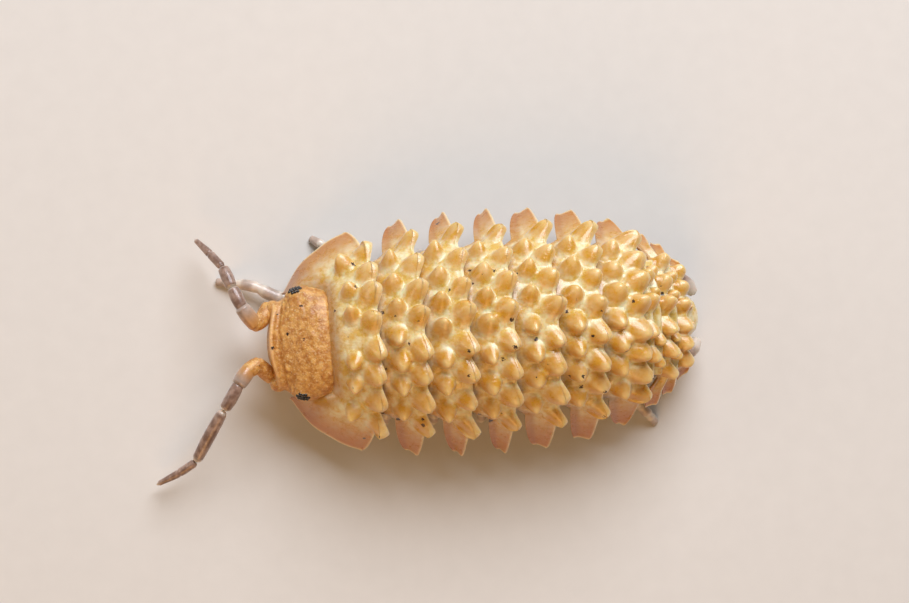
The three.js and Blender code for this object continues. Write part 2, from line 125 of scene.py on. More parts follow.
# The camera's own up is first made the animal's right side, then leaned by the roll
up_now = facing @ Vector((0, 1, 0))
wanted = Vector((0, 1, 0)) - back * back.y
lean = math.atan2(up_now.cross(wanted.normalized()).dot(back), up_now.dot(wanted.normalized()))
facing = Quaternion(back, lean - math.radians(ROLL)) @ facing
right = facing @ Vector((1, 0, 0))
up = facing @ Vector((0, 1, 0))
pixels_off = right * (PHOTO_WIDTH / 2 - CENTRE_PIXEL[0]) + up * (CENTRE_PIXEL[1] - PHOTO_HEIGHT / 2)
offset = pixels_off * MM_PER_PIXEL * MM
distance = PHOTO_WIDTH * MM_PER_PIXEL * MM * LENS / SENSOR
lens_data = bpy.data.cameras.new("macro_camera")
lens_data.lens = LENS
lens_data.sensor_width = SENSOR
lens_data.clip_start = 0.001
lens_data.clip_end = 10.0
camera = bpy.data.objects.new("macro_camera", lens_data)
camera.location = focus + offset + back * distance
camera.rotation_mode = "QUATERNION"
camera.rotation_quaternion = facing
bpy.context.scene.collection.objects.link(camera)
bpy.context.scene.camera = camera

# Each lamp's name, its place and width in metres, its power in watts and its colour
LAMPS = [
    ("far_softbox", (0.025, 0.085, 0.085), 0.1, 0.2, "#f4f6ff"),
    ("near_fill", (-0.03, -0.10, 0.07), 0.08, 0.055, "#ffc078"),
    ("head_kicker", (-0.09, 0.02, 0.05), 0.04, 0.01, "#fff6ea"),
]
WALL_COLOUR = "#f2e0c2"
WALL_STRENGTH = 0.17
for name, place, size, power, colour in LAMPS:
    lamp = bpy.data.lights.new(name, "AREA")
    lamp.shape = "DISK"
    lamp.size = size
    lamp.energy = power
    lamp.color = linear(colour)[:3]
    lamp_object = bpy.data.objects.new(name, lamp)
    lamp_object.location = place
    lamp_object.rotation_mode = "QUATERNION"
    lamp_object.rotation_quaternion = Vector(place).to_track_quat("Z", "Y")
    bpy.context.scene.collection.objects.link(lamp_object)
world = bpy.data.worlds.new("studio")
world.use_nodes = True
world.node_tree.nodes["Background"].inputs["Color"].default_value = linear(WALL_COLOUR)
world.node_tree.nodes["Background"].inputs["Strength"].default_value = WALL_STRENGTH
bpy.context.scene.world = world
bpy.context.scene.view_settings.view_transform = "Standard"

# Pereonites: seven arched plates of thin amber chitin, each lapping the next like a roof tile. The sides run
# down into lobes, and two rows of tubercles, blunt and swept back, grow out of each plate.
# The back's stations: place along the body, half width and height of the ridge
BACK = np.array([
    [-4.7, 1.3, 1.95],
    [-4.37, 1.8, 2.14],
    [-3.75, 2.24, 2.42],
    [-3.15, 2.5, 2.62],
    [-2.6, 2.62, 2.74],
    [-1.6, 2.76, 2.92],
    [-0.5, 2.85, 3.02],
    [0.5, 2.84, 3.04],
    [1.5, 2.77, 2.98],
    [2.5, 2.62, 2.84],
    [3.2, 2.38, 2.64],
    [3.6, 2.15, 2.42],
    [4.0, 1.92, 2.12],
    [4.4, 1.62, 1.76],
    [4.7, 1.28, 1.46],
    [5.0, 0.86, 1.2],
    [5.4, 0.5, 1.0],
])
RIM_TOP = 0.86
RIM_DROP = 0.36
DOME_POWER = 2.2
SHIELD_FRONT = -3.9
SHIELD_REAR = -2.6
PITCH = 1.02
PLATE_GAP = 0.05
PLATE_THICK = 0.13
LOBE_START = 0.72
CORNER_FULL = 0.96
NOTCH_START = 0.69
NOTCH_SPAN = 0.06
# How much of a plate lies bare behind the one before it, and how its covered front is sunk and tucked in
BARE_SHARE = 0.82
FRONT_SINK = 0.1
TUCK = 0.2
TUCK_SINK = 0.16
TUCK_STEEP = 4
EDGE_LIFT = 0.05
EDGE_ROUND = 0.7
RIM_WIDTH = 0.1
# The bead along the free rear edge: its height, its distance from the edge and its width
BEAD = (0.018, 0.05, 0.035)
COLUMNS = 380
ROWS = 60
TUBERCLE_RADIUS = 0.3
TUBERCLE_HEIGHT = 0.36
TUBERCLE_TIP = 0.06
TUBERCLE_SHORTER = 1.05
TUBERCLE_LIMIT = 0.97
OUTWARD_LEAN = 0.55
# How much a tubercle wanders along and across the plate, and how much its radius and height vary
WANDER = (0.03, 0.012)
VARIES = (0.12, 0.15)
REAR_ROW = (0.12, 0.33, 0.54, 0.74)
FRONT_ROW = (0, 0.22, 0.43, 0.63)
REAR_ROW_IN = 0.16
FRONT_ROW_IN = 0.62
# For pereonites two to seven: the notch before the side lobe, and the rounding of its front and rear corner
LOBES = [(0.22, 0.35, 0.1), (0.3, 0.4, 0.08), (0.34, 0.34, 0.08), (0.18, 0.35, 0.12), (0.24, 0.2, 0.12),
         (0.16, 0.35, 0.35)]
draws = np.random.default_rng(5)


def smooth(f):
    """3f^2 - 2f^3 between 0 and 1."""
    c = np.clip(f, 0, 1)
    return c * c * (3 - 2 * c)


def mix(a, b, f):
    """a at f = 0, b at f = 1."""
    return a + (b - a) * f


def along(x, column):
    """A smooth line through the stations of BACK: cubic pieces whose slope at a station is the mean slope of
    the two stretches beside it."""
    xs, ys = BACK[:, 0], BACK[:, column]
    slopes = np.gradient(ys, xs)
    i = np.clip(np.searchsorted(xs, x) - 1, 0, len(xs) - 2)
    width = xs[i + 1] - xs[i]
    f = np.clip((x - xs[i]) / width, 0, 1)
    a = (1 + 2 * f) * (1 - f) ** 2 * ys[i] + f * (1 - f) ** 2 * width * slopes[i]
    return a + f * f * (3 - 2 * f) * ys[i + 1] - f * f * (1 - f) * width * slopes[i + 1]


def back_surface(x, t):
    """The arched back: y = half * t and z = top - drop * |t|^2.2, with half and top read along the body."""
    top = along(x, 2)
    drop = top - np.minimum(RIM_TOP, top - RIM_DROP)
    return np.stack([x, along(x, 1) * t, top - drop * np.abs(t) ** DOME_POWER], axis=-1)


def grid_normals(points):
    """Unit normals of a grid of points, turned upwards at its middle."""
    down = np.gradient(points, axis=0)
    over = np.gradient(points, axis=1)
    normal = np.cross(down, over)
    normal /= np.linalg.norm(normal, axis=-1, keepdims=True) + 1e-12
    middle = normal[normal.shape[0] // 2, normal.shape[1] // 2, 2]
    return normal * (1 if middle > 0 else -1)


def mesh_object(name, points, faces, values=None):
    """A smooth mesh from points in the animal's millimetres and quads or triangles, with named values on the
    points."""
    mesh = bpy.data.meshes.new(name)
    placed = (np.asarray(points, float) + SHIFT) * MM
    mesh.vertices.add(len(placed))
    mesh.vertices.foreach_set("co", placed.astype(np.float32).ravel())
    flat = np.concatenate([f.ravel() for f in faces]).astype(np.int32)
    counts = np.concatenate([np.full(len(f), f.shape[1]) for f in faces]).astype(np.int32)
    mesh.loops.add(len(flat))
    mesh.loops.foreach_set("vertex_index", flat)
    mesh.polygons.add(len(counts))
    starts = np.concatenate([[0], np.cumsum(counts)[:-1]])
    mesh.polygons.foreach_set("loop_start", starts.astype(np.int32))
    mesh.update(calc_edges=True)
    mesh.validate()
    for key, array in (values or {}).items():
        layer = mesh.attributes.new(key, "FLOAT", "POINT")
        layer.data.foreach_set("value", np.asarray(array, np.float32).ravel())
    mesh.polygons.foreach_set("use_smooth", np.ones(len(mesh.polygons), bool))
    piece = bpy.data.objects.new(name, mesh)
    bpy.context.scene.collection.objects.link(piece)
    return piece


def outward(points, faces):
    """Turns every face over when the closed mesh they bound has a negative volume."""
    volume = 0.0
    for f in faces:
        for k in range(1, f.shape[1] - 1):
            a, b, c = points[f[:, 0]], points[f[:, k]], points[f[:, k + 1]]
            volume += np.einsum("ij,ij->i", a, np.cross(b, c)).sum()
    return faces if volume > 0 else [f[:, ::-1] for f in faces]


def shell(name, outer, inner, values):
    """A closed shell of two grids that share their border: the outer face, and the inner one turned round."""
    rows, columns = outer.shape[:2]
    top = np.arange(rows * columns).reshape(rows, columns)
    inside = np.zeros((rows, columns), bool)
    inside[1:-1, 1:-1] = True
    low = top.copy()
    low[inside] = rows * columns + np.arange(inside.sum())
    quads = []
    for g in (top, low):
        square = [g[:-1, :-1], g[:-1, 1:], g[1:, 1:], g[1:, :-1]]
        quads.append(np.stack(square, axis=-1).reshape(-1, 4))
    quads[1] = quads[1][:, ::-1]
    points = np.concatenate([outer.reshape(-1, 3), inner[inside]])
    doubled = {key: np.concatenate([v.ravel(), v[inside]]) for key, v in values.items()}
    return mesh_object(name, points, outward(points, quads), doubled)


def row_of(places, x, size, lean):
    """Tubercles in a row across a plate, a pair for each place, each with its own small wander and size."""
    row = []
    for place in places:
        for side in (-1, 1) if place else (1,):
            wander = draws.uniform(-1, 1, 4)
            row.append((x + WANDER[0] * wander[0], side * place + WANDER[1] * wander[1],
                        TUBERCLE_RADIUS * size * (1 + VARIES[0] * wander[2]),
                        TUBERCLE_HEIGHT * size * (1 + VARIES[1] * wander[3]), lean))
    return row


def grow_tubercles(points, x, t, tubercles, reach):
    """Raises each tubercle out of a grid: a rounded scale whose height is (1 - r^1.6)^1.25, where r is the
    distance on the surface over the radius. The rise follows the normal leaned to the rear and outwards."""
    normal = grid_normals(points)
    over = np.gradient(points, axis=1)
    over /= np.linalg.norm(over, axis=-1, keepdims=True) + 1e-12
    middle = points[points.shape[0] // 2]
    arc = np.concatenate([[0], np.cumsum(np.linalg.norm(np.diff(middle, axis=0), axis=1))])
    arc -= np.interp(0, t[0], arc)
    raised = points.copy()
    height = np.zeros(x.shape)
    for at_x, at_t, radius, tall, lean in tubercles:
        if abs(at_t) > reach:
            continue
        across = arc[None, :] - np.interp(at_t, t[0], arc)
        away = np.hypot((x - at_x) * TUBERCLE_SHORTER, across) / radius
        away = np.hypot(away, TUBERCLE_TIP) - TUBERCLE_TIP
        rise = (1 - np.clip(away, 0, 1) ** 1.6) ** 1.25
        way = normal + lean * np.array([1.0, 0, 0]) + OUTWARD_LEAN * np.sign(at_t) * over
        way /= np.linalg.norm(way, axis=-1, keepdims=True)
        raised += (rise * tall)[..., None] * way
        height = np.maximum(height, rise)
    return raised, height


def plate(name, front, rear, tubercles, sweep, trail, rounds, reach=1.0, rows=ROWS, columns=COLUMNS,
          tuck=TUCK, sink=FRONT_SINK, thick=PLATE_THICK, notch=0.0, neck=0.0):
    """A plate as a shell over the back. t runs across it and v from the tucked front edge to the free rear
    edge. The notch sets the front of the side lobe back, and the neck draws the front edge down to meet what
    is before it."""
    f = np.linspace(-1, 1, columns)
    t_line = reach * np.sign(f) * (0.6 * np.abs(f) + 0.4 * np.sin(np.pi / 2 * np.abs(f)))
    s = np.abs(t_line)
    q = np.clip((s - LOBE_START) / (1 - LOBE_START), 0, 1)
    corner = 1 - np.sqrt(1 - CORNER_FULL * q * q)
    step = smooth((s - NOTCH_START) / NOTCH_SPAN)
    x_front = front + sweep(s) + notch * step + rounds[0] * corner - tuck * (1 - step)
    x_rear = rear + trail(s) - rounds[1] * corner
    w = np.linspace(0, 1, rows)
    v = 1 - (1 - w) ** 1.5
    x = x_front[None, :] + (x_rear - x_front)[None, :] * v[:, None]
    t = np.broadcast_to(t_line[None, :], x.shape)
    base = back_surface(x, t)
    normal = grid_normals(base)
    # The covered front is sunk and tucked in, and the bare rear rises to a lifted edge with a fine bead
    bare_front = x_rear - (x_rear - x_front) * BARE_SHARE
    open_share = np.clip((x - bare_front[None, :]) / (x_rear - bare_front)[None, :], -1, 1)
    tucked = TUCK_SINK * np.clip(-open_share * TUCK_STEEP, 0, 1) ** 1.5 * (1 - step[None, :])
    proud = EDGE_LIFT * (1 - 0.6 * q)[None, :]
    depth = mix(sink, -proud, smooth(open_share * 1.15)) + (tucked if neck == 0 else 0)
    neck_share = (1 - smooth((s - 0.5) / 0.25))[None, :]
    depth = depth + neck * np.exp(-((x - x_front[None, :]) / 0.22) ** 2) * neck_share
    bead = BEAD[0] * np.exp(-(((x_rear[None, :] - x) - BEAD[1]) / BEAD[2]) ** 2)
    base = base - normal * (depth - bead)[..., None]
    raised, height = grow_tubercles(base, x, t, tubercles, reach * TUBERCLE_LIMIT)
    # The rim value falls off from every free edge, and the wall thins to nothing at the border
    edge = np.minimum(x_rear[None, :] - x, (reach - np.abs(t)) * along(x, 1) * 1.7)
    edge = np.minimum(edge, x - x_front[None, :] + (1 - q[None, :]) * 10)
    rim = np.exp(-np.clip(edge, 0, None) / RIM_WIDTH)
    border = np.minimum(np.minimum(x_rear[None, :] - x, x - x_front[None, :]), (reach - np.abs(t)) * 2.4)
    wall = thick * np.sqrt(1 - (1 - np.clip(border / (thick * EDGE_ROUND), 0, 1)) ** 2)
    inner = base - normal * wall[..., None]
    # The lap value falls to 0 where a plate runs in under the one before, and the chitin is painted darker
    # there as shade
    values = {"tubercle": height, "rim": rim, "side": np.abs(t), "lap_shade": np.clip(open_share, 0, 1)}
    return shell(name, raised, inner, values)


def fit(piece, material, slot, *nodes):
    """Gives a piece its finish and its place on the body, and hides the solids it stands for."""
    piece.data.materials.append(material)
    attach(piece, "root")
    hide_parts(*nodes)


# Amber chitin: a thin, hard cuticle grown in one piece, translucent and glossy. Light soaks in and comes
# back orange where it is thick, and cream at the rims and the tubercles' tips, where it is thin and dry.
SMOOTH_STEP = {"interpolation_type": "SMOOTHSTEP"}


def soil_specks(tree, place, scale, torn_by, rarity, largest):
    """Dark specks of soil: 1 within a ragged spot at the middle of a cell and 0 elsewhere. As a cell's own
    random value goes from the rarity to 1, its spot grows from nothing to the largest."""
    ragged = node(tree, "ShaderNodeTexNoise", Vector=place, Scale=24000.0, Detail=2.0).outputs["Color"]
    torn = node(tree, "ShaderNodeVectorMath", {"operation": "MULTIPLY_ADD"}, i0=ragged,
                i1=(torn_by, torn_by, torn_by), i2=place)
    cells = node(tree, "ShaderNodeTexVoronoi", Vector=torn.outputs[0], Scale=scale)
    pick = node(tree, "ShaderNodeSeparateColor", Color=cells.outputs["Color"]).outputs[0]
    size = node(tree, "ShaderNodeMapRange", SMOOTH_STEP, Value=pick, From_Min=rarity, From_Max=1.0,
                To_Max=largest).outputs["Result"]
    speck = node(tree, "ShaderNodeMath", {"operation": "LESS_THAN"}, i0=cells.outputs["Distance"], i1=size)
    return speck.outputs[0]


def tinted(tree, colour, layers):
    """Lays thin tints over a base colour. Each layer says what it follows, where on that it starts and is
    full, how strong it gets, and its colour, and its strength rises on a smooth step."""
    for follows, start, full, strength, tint in layers:
        share = node(tree, "ShaderNodeMapRange", SMOOTH_STEP, Value=follows, From_Min=start, From_Max=full,
                     To_Max=strength).outputs["Result"]
        mixed = node(tree, "ShaderNodeMix", {"data_type": "RGBA"}, Factor=share, A=colour, B=tint)
        colour = mixed.outputs["Result"]
    return colour


chitin, tree = bare_material("amber_chitin")
place = node(tree, "ShaderNodeTexCoord").outputs["Object"]
side = node(tree, "ShaderNodeAttribute", {"attribute_name": "side"}).outputs["Fac"]
tip = node(tree, "ShaderNodeAttribute", {"attribute_name": "tubercle"}).outputs["Fac"]
rim = node(tree, "ShaderNodeAttribute", {"attribute_name": "rim"}).outputs["Fac"]
lap_shade = node(tree, "ShaderNodeAttribute", {"attribute_name": "lap_shade"}).outputs["Fac"]
# Mottling of about 0.25 mm, lengthwise grain 0.04 mm wide, and dark specks of soil up to 0.1 mm across
mottle = node(tree, "ShaderNodeTexNoise", Vector=place, Scale=4000.0, Detail=4.0,
              Roughness=0.6).outputs["Fac"]
stretched = node(tree, "ShaderNodeMapping", Vector=place, Scale=(0.25, 1.0, 1.0)).outputs["Vector"]
streak = node(tree, "ShaderNodeTexNoise", Vector=stretched, Scale=26000.0, Detail=3.0).outputs["Fac"]
colour = tinted(tree, "#d9b04e", [
    # The pale cream of this mottling is partly the cuticle's own tone and partly painted sheen between the
    # tubercles
    (mottle, 0.35, 0.7, 1.0, "#efe6bc"),
    (streak, 0.5, 0.78, 0.35, "#f6e3b4"),
    (side, 0.68, 0.97, 0.9, "#b36c02"),
    # Painted shade: darker orange-brown where each plate runs in under the rear edge of the one before
    (lap_shade, 0.3, 0.0, 0.5, "#9a5206"),
    (tip, 0.1, 0.4, 0.7, "#cd900c"),
    (tip, 0.6, 1.0, 0.5, "#f4dc9c"),
    (rim, 0.4, 0.95, 0.75, "#f7e0ae"),
    (soil_specks(tree, place, 3800.0, 0.00012, 0.74, 0.2), 0.0, 1.0, 1.0, "#3a2010"),
])
grain_bump = node(tree, "ShaderNodeBump", Strength=0.25, Distance=0.00002, Height=streak)
dimple = node(tree, "ShaderNodeTexNoise", Vector=place, Scale=11000.0, Detail=2.0).outputs["Fac"]
bump = node(tree, "ShaderNodeBump", Strength=0.5, Distance=0.00003, Height=dimple,
            Normal=grain_bump.outputs["Normal"])
shine = node(tree, "ShaderNodeMapRange", SMOOTH_STEP, Value=mottle, From_Min=0.3, From_Max=0.7, To_Min=0.24,
             To_Max=0.42).outputs["Result"]
# The waxy bloom of fine scales on the cuticle is the sheen, which whitens the side turned to the lamp
shader = node(tree, "ShaderNodeBsdfPrincipled", Base_Color=colour, Roughness=shine, IOR=1.55,
              Subsurface_Weight=0.25, Subsurface_Scale=0.0003, Subsurface_Radius=(1.0, 0.5, 0.15),
              Coat_Weight=0.55, Coat_Roughness=0.2, Sheen_Weight=0.3, Sheen_Roughness=0.4,
              Normal=bump.outputs["Normal"])
finish_material(tree, shader)

# The shield: the first plate, whose front corners curve forward round the head. It has no plate before it,
# so its front edge is drawn down to the head, and its front row of tubercles leaves the middle free.
SHIELD_SWEEP = 0.82
SHIELD_SWEEP_START = 0.6
SHIELD_NECK = 0.24
SHIELD_FRONT_ROW = (0.2, 0.42, 0.66)
shield_rows = row_of(REAR_ROW, SHIELD_REAR - REAR_ROW_IN, 1.0, 0.7)
shield_rows += row_of(SHIELD_FRONT_ROW, SHIELD_REAR - FRONT_ROW_IN, 0.85, 0.3)


def crescent(s):
    """The shield's front edge swept forward beside the head: -sweep * (1 - (1 - u)^1.7), with u from 0 where
    the sweep starts to 1 at the tip."""
    u = np.clip((s - SHIELD_SWEEP_START) / (1 - SHIELD_SWEEP_START), 0, 1)
    return -SHIELD_SWEEP * (1 - (1 - u) ** 1.7)


shield = plate("pereonite_1_plate", SHIELD_FRONT, SHIELD_REAR, shield_rows, crescent,
               lambda s: -0.2 * smooth((s - 0.5) / 0.5), (0.0, 0.3), tuck=0.0, neck=SHIELD_NECK)
fit(shield, chitin, "plate", "pereonite_1")


def forward_tip(s):
    """A lobe's free rear edge runs forward by a quarter of what s has past 0.6."""
    return -0.25 * np.clip(s - 0.6, 0, None)


for number, (notch, *rounds) in enumerate(LOBES, 2):
    rear = SHIELD_REAR + PITCH * (number - 1)
    tubercles = row_of(REAR_ROW, rear - REAR_ROW_IN, 1.0, 0.8)
    tubercles += row_of(FRONT_ROW, rear - FRONT_ROW_IN, 0.9, 0.5)
    made = plate(f"pereonite_{number}_plate", rear - PITCH + PLATE_GAP, rear, tubercles, lambda s: 0 * s,
                 forward_tip, rounds, notch=notch)
    fit(made, chitin, "plate", f"pereonite_{number}")

# Pleonites: five short rings of the same chitin behind the pereonites. The first two have no lobes, and the
# rest have lobes that sweep back and wrap the tail.
PLEON_PITCH = 0.22
PLEON_GAP = 0.02
PLEON_FRONT = SHIELD_REAR + 6 * PITCH
# For each: how far the front and rear edges shift at the sides, and how far round the plate reaches
PLEON_LOBES = [(0, 0, 0.66), (0, 0, 0.66), (-0.34, -0.16, 1.0), (-0.12, 0, 1.0), (0.04, 0.2, 1.0)]
# The rows are staggered from ring to ring, and every other row is the smaller one
LARGE_ROW = (0.14, 0.4, 0.66)
SMALL_ROW = (0.27, 0.52)


def at_sides(s):
    """0 up to 0.7 of the half width, 1 from 0.9 on, and a smooth step between."""
    return smooth((s - 0.7) / 0.2)


for number, (sweep_to, trail_to, reach) in enumerate(PLEON_LOBES, 1):
    rear = PLEON_FRONT + PLEON_PITCH * number
    small = number % 2 == 0
    places = [p for p in (SMALL_ROW if small else LARGE_ROW) if p < reach - 0.1]
    tubercles = row_of(places, rear - 0.1, 0.5 if small else 0.74, 0.8)
    made = plate(f"pleonite_{number}_plate", rear - PLEON_PITCH + PLEON_GAP, rear, tubercles,
                 lambda s: sweep_to * at_sides(s), lambda s: trail_to * at_sides(s),
                 (0.05, 0.0 if reach < 1 else 0.1), reach=reach, rows=28, columns=260, tuck=0.08, sink=0.05,
                 thick=0.09)
    fit(made, chitin, "plate", f"pleonite_{number}")

# Head: a blunt capsule of the same cuticle, duller and mottled tan, with a raised lamina along its front
# edge, a lobe over each feeler's socket and a swelling under each eye.
# The head's stations: place along the body, half width, top and underside
HEAD_STATIONS = np.array([
    [-5.1, 0.5, 1.6, 1.16],
    [-5.08, 0.72, 1.68, 1.05],
    [-5.02, 0.92, 1.76, 0.88],
    [-4.9, 1.06, 1.76, 0.76],
    [-4.66, 1.2, 1.88, 0.68],
    [-4.39, 1.3, 2.02, 0.66],
    [-4.13, 1.3, 2.13, 0.7],
    [-3.92, 1.26, 2.16, 0.78],
    [-3.7, 1.2, 2.14, 0.9],
    [-3.6, 1.0, 2.0, 1.05],
])
HEAD_FRONT = -5.1
HEAD_REAR = -3.6
HEAD_HALF = 1.3
HEAD_MIDDLE = (-4.4, 0, 1.35)
HEAD_SQUARE = 0.84
HEAD_BOW = 0.46
HEAD_BOW_REAR = -4.5
# The raised lamina and the groove behind it: place along the head, width and height or depth
LAMINA = (-5.02, 0.045, 0.06)
GROOVE = (-4.88, 0.06, 0.04)
PALE_LINE = -5.03
SOCKET_LOBE = (-4.9, 0.86, 1.25)
# The swelling at each socket and each eye: its height and its reach
SOCKET_SWELL = (0.15, 0.2)
EYE_SWELL = (0.1, 0.26)
EYE_Y = 1.26
GRAIN_COUNT = 90
GRAIN_RADIUS = 0.075
GRAIN_HEIGHT = 0.024


def through(stations, x, column):
    """Straight lines through the stations, rounded by averaging over a short window either side of x."""
    window = np.linspace(-0.035, 0.035, 5)
    return np.mean([np.interp(x + w, stations[:, 0], stations[:, column]) for w in window], axis=0)


def closed_tube(name, rings, values=None):
    """A closed surface through rings of points, with each end drawn to a point at the ring's middle."""
    count, sides = rings.shape[:2]
    points = np.concatenate([rings.reshape(-1, 3), rings[0].mean(0)[None], rings[-1].mean(0)[None]])
    index = np.arange(count * sides).reshape(count, sides)
    turned = np.roll(index, -1, axis=1)
    quads = np.stack([index[:-1], turned[:-1], turned[1:], index[1:]], axis=-1).reshape(-1, 4)
    start, end = count * sides, count * sides + 1
    first = np.stack([turned[0], index[0], np.full(sides, start)], axis=-1)
    last = np.stack([index[-1], turned[-1], np.full(sides, end)], axis=-1)
    padded = {k: np.concatenate([v.ravel(), [v[0].mean(), v[-1].mean()]]) for k, v in (values or {}).items()}
    return mesh_object(name, points, outward(points, [quads, first, last]), padded)


# Stations lie closer together at the front, where the lamina needs them
head_x = np.concatenate([np.linspace(HEAD_FRONT, -4.8, 40), np.linspace(-4.79, HEAD_REAR, 70)])
angle = np.linspace(0, 2 * np.pi, 160, endpoint=False)
x = np.broadcast_to(head_x[:, None], (len(head_x), len(angle)))
half = through(HEAD_STATIONS, head_x, 1)[:, None]
high = through(HEAD_STATIONS, head_x, 2)[:, None]
low = through(HEAD_STATIONS, head_x, 3)[:, None]
cos, sin = np.cos(angle)[None, :], np.sin(angle)[None, :]
y = half * np.sign(cos) * np.abs(cos) ** HEAD_SQUARE
z = (high + low) / 2 + (high - low) / 2 * np.sign(sin) * np.abs(sin) ** HEAD_SQUARE
# The front is bowed: its sides lie further back, by the square of the distance from the middle line
bow_share = np.clip((HEAD_BOW_REAR - x) / (HEAD_BOW_REAR - HEAD_FRONT), 0, 1)
bow = HEAD_BOW * (y / HEAD_HALF) ** 2 * bow_share
head = np.stack([x + bow, y, z], axis=-1)
# Round a tube the normals are turned away from its middle
normal = grid_normals(head)
normal *= np.where((normal * (head - np.array(HEAD_MIDDLE))).sum(-1, keepdims=True) < 0, -1, 1)
upper = smooth((z - 1.1) / 0.3)
lamina = LAMINA[2] * np.exp(-((x - LAMINA[0]) / LAMINA[1]) ** 2) * upper
groove = GROOVE[2] * np.exp(-((x - GROOVE[0]) / GROOVE[1]) ** 2) * upper
raise_by = lamina - groove
for side_sign in (-1, 1):
    away = np.linalg.norm(head - np.array(SOCKET_LOBE) * [1, side_sign, 1], axis=-1)
    raise_by = raise_by + SOCKET_SWELL[0] * np.exp(-(away / SOCKET_SWELL[1]) ** 2)
    eye_place = np.array([EYE_CENTRE_X, side_sign * EYE_Y, EYE_CENTRE_Z])
    eye_away = np.linalg.norm((head - eye_place) / [1.4, 1, 1], axis=-1)
    raise_by = raise_by + EYE_SWELL[0] * np.exp(-(eye_away / EYE_SWELL[1]) ** 2)
# Small rounded grains are scattered over the top of the head
grains_x = draws.uniform(-4.8, -3.75, GRAIN_COUNT)
grains_y = draws.uniform(-1.15, 1.15, GRAIN_COUNT)
for grain_x, grain_y in zip(grains_x, grains_y):
    grain_near = np.clip(1 - np.hypot(x - grain_x, y - grain_y) / GRAIN_RADIUS, 0, 1)
    raise_by = raise_by + GRAIN_HEIGHT * smooth(grain_near) * upper
head = head + normal * raise_by[..., None]
pale_line = np.exp(-((x - PALE_LINE) / LAMINA[1]) ** 2) * upper
head_piece = closed_tube("head_capsule", head, {"rim": pale_line})

# Head cuticle: the same chitin, grown matt with fine granules and mottled tan, brown and cream, with a pale
# line along the raised front edge and specks of soil.
head_chitin, tree = bare_material("granular_head_chitin")
place = node(tree, "ShaderNodeTexCoord").outputs["Object"]
rim = node(tree, "ShaderNodeAttribute", {"attribute_name": "rim"}).outputs["Fac"]
# Mottling of about 0.14 mm and granules of about 0.05 mm
mottle = node(tree, "ShaderNodeTexNoise", Vector=place, Scale=7000.0, Detail=5.0,
              Roughness=0.65).outputs["Fac"]
fine = node(tree, "ShaderNodeTexNoise", Vector=place, Scale=21000.0, Detail=3.0).outputs["Fac"]
colour = tinted(tree, "#b0722c", [
    (mottle, 0.34, 0.68, 1.0, "#dca85a"),
    (fine, 0.5, 0.74, 0.55, "#efd3a0"),
    (rim, 0.3, 0.9, 0.6, "#efc48a"),
    (soil_specks(tree, place, 5600.0, 0.0001, 0.62, 0.24), 0.0, 1.0, 1.0, "#2c170a"),
])
bump = node(tree, "ShaderNodeBump", Strength=0.6, Distance=0.00003, Height=fine)
shine = node(tree, "ShaderNodeMapRange", SMOOTH_STEP, Value=fine, From_Min=0.3, From_Max=0.7, To_Min=0.35,
             To_Max=0.55).outputs["Result"]
shader = node(tree, "ShaderNodeBsdfPrincipled", Base_Color=colour, Roughness=shine, IOR=1.55,
              Subsurface_Weight=0.2, Subsurface_Scale=0.0002, Subsurface_Radius=(1.0, 0.5, 0.2),
              Coat_Weight=0.15, Coat_Roughness=0.3, Normal=bump.outputs["Normal"])
finish_material(tree, shader)
fit(head_piece, head_chitin, "head", "cephalon")

# Eyes: each a patch of twelve separate lenses in three rows, seated on the side of the head. The cuticle
# over them is black, hard and very smooth, so each lens is glossy.
eye_glass, tree = bare_material("black_lens_cuticle")
lens_shader = node(tree, "ShaderNodeBsdfPrincipled", Base_Color="#0d0806", Roughness=0.12, IOR=1.56,
                   Coat_Weight=0.6, Coat_Roughness=0.05)
finish_material(tree, lens_shader)
LENS_RADIUS = 0.043
LENS_STEP = 0.068
LENS_ROWS = (3, 5, 4)
# How far a lens is sunk in the head, so that a little over half of it stands clear
LENS_SEAT = 0.012
# The rows bend down towards their ends: by how much, and how far out
ROW_BEND = (0.05, 0.25)
PATCH_RAISE = 0.06


def balls(centres, radius, wide=14, high=8):
    """Spheres of one size round each centre: x = r sin a cos b, y = r sin a sin b, z = r cos a."""
    a = np.linspace(0, np.pi, high)[:, None]
    b = np.linspace(0, 2 * np.pi, wide, endpoint=False)[None, :]
    ring = np.stack([np.sin(a) * np.cos(b), np.sin(a) * np.sin(b), np.cos(a) * np.ones_like(b)], axis=-1)
    inner = ring[1:-1].reshape(-1, 3)
    one = np.concatenate([inner, [[0, 0, 1], [0, 0, -1]]])
    index = np.arange(len(inner)).reshape(high - 2, wide)
    turned = np.roll(index, -1, axis=1)
    quads = np.stack([index[:-1], index[1:], turned[1:], turned[:-1]], axis=-1).reshape(-1, 4)
    caps = np.concatenate([np.stack([index[0], turned[0], np.full(wide, len(inner))], axis=-1),
                           np.stack([turned[-1], index[-1], np.full(wide, len(inner) + 1)], axis=-1)])
    points, four, three = [], [], []
    for k, centre in enumerate(centres):
        points.append(one * radius + centre)
        four.append(quads + k * len(one))
        three.append(caps + k * len(one))
    return np.concatenate(points), [np.concatenate(four), np.concatenate(three)]


